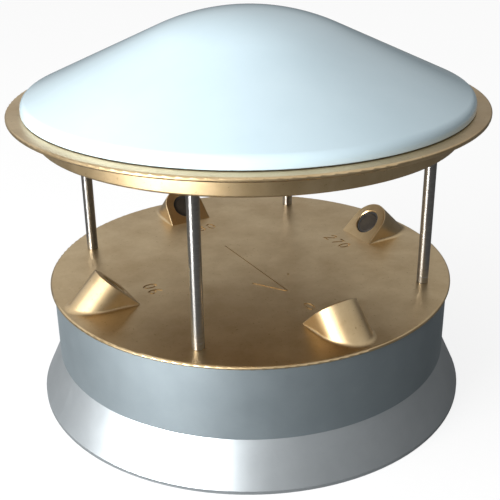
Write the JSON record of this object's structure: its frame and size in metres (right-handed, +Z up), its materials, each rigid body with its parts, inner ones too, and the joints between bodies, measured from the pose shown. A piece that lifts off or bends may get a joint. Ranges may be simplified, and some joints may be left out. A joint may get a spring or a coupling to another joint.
{
  "type": "gnss receiver",
  "caption": "Round GNSS receiver head with an ultrasonic wind sensor: white bell radome on a gold reflector plate, slim posts, gold deck with angled transducers, grey housing, flared skirt.",
  "frame": {"origin": "centre of the underside, on the vertical axis of the body", "axes": "+Z up, +Y towards the 0 degree transducer, +X towards the 90 degree transducer"},
  "size_m": [0.201, 0.201, 0.1685],
  "materials": {
    "radome_white": "smooth semi-gloss cool white",
    "gold_coat": "satin gold coating over machined metal, slightly mottled",
    "polished_steel": "polished stainless rod with fine turning marks",
    "band_paint": "satin blue-grey paint",
    "skirt_silver": "satin silver, turned",
    "bare_aluminium": "plain machined",
    "steel_hardware": "stainless fasteners",
    "black_rubber": "matte black",
    "transducer_dark": "dark matte matching layer",
    "brass": "turned brass",
    "ceramic_beige": "dense ceramic",
    "silver_plate": "silver-plated sheet",
    "board_green": "solder-masked glass-fibre board",
    "shield_can": "tin-plated can",
    "black_plastic": "moulded black",
    "cap_alloy": "black coated alloy",
    "lead_jacket": "brown lead jacket",
    "nickel": "nickel-plated"
  },
  "bodies": {
    "housing": {"antenna_feed_pins": "brass", "antenna_ground_plane": "bare_aluminium", "antenna_radiator": "silver_plate", "antenna_screws": "steel_hardware", "antenna_spacers": "bare_aluminium", "antenna_substrate": "ceramic_beige", "base_gasket": "black_rubber", "base_plate": "bare_aluminium", "base_screws": "steel_hardware", "board_chips": "black_plastic", "board_screws": "steel_hardware", "board_spacers": "bare_aluminium", "boss_screws": "steel_hardware", "breather_vent": "black_plastic", "cap_hinge_pin": "steel_hardware", "cap_spring": "steel_hardware", "clamp_ring": "bare_aluminium", "coax_lead": "lead_jacket", "coax_plugs": "brass", "connector_gasket": "black_rubber", "connector_insert": "black_plastic", "connector_pins": "brass", "connector_screws": "steel_hardware", "connector_shell": "nickel", "deck_o_ring": "black_rubber", "deck_plate": "gold_coat", "deck_screws": "steel_hardware", "driver_board": "board_green", "gnss_module": "shield_can", "housing_band": "band_paint", "lead_headers": "black_plastic", "lna_board": "board_green", "lna_shield": "shield_can", "mainboard": "board_green", "mounting_skirt": "skirt_silver", "pole_bush": "brass", "post_nuts": "steel_hardware", "post_washers": "steel_hardware", "radome": "radome_white", "radome_gasket": "black_rubber", "radome_inserts": "brass", "radome_screws": "steel_hardware", "support_post_1": "polished_steel", "support_post_2": "polished_steel", "support_post_3": "polished_steel", "support_post_4": "polished_steel", "transducer_boss_0": "gold_coat", "transducer_boss_180": "gold_coat", "transducer_boss_270": "gold_coat", "transducer_boss_90": "gold_coat", "transducer_leads": "lead_jacket", "transducer_sleeves": "black_rubber", "ultrasonic_transducer_0": "transducer_dark", "ultrasonic_transducer_180": "transducer_dark", "ultrasonic_transducer_270": "transducer_dark", "ultrasonic_transducer_90": "transducer_dark", "upper_plate": "gold_coat"},
    "cap": {"connector_cap": "cap_alloy", "cap_seal": "black_rubber"}
  },
  "joints": [
    {"name": "connector_cap_hinge", "type": "hinge", "parent": "housing", "child": "cap", "pos_m": [0, -0.0595, 0.009], "axis": [-1, 0, 0], "range_deg": [0, 110], "stiffness_Nm_per_rad": 0.005, "springref_deg": -22.92}
  ]
}
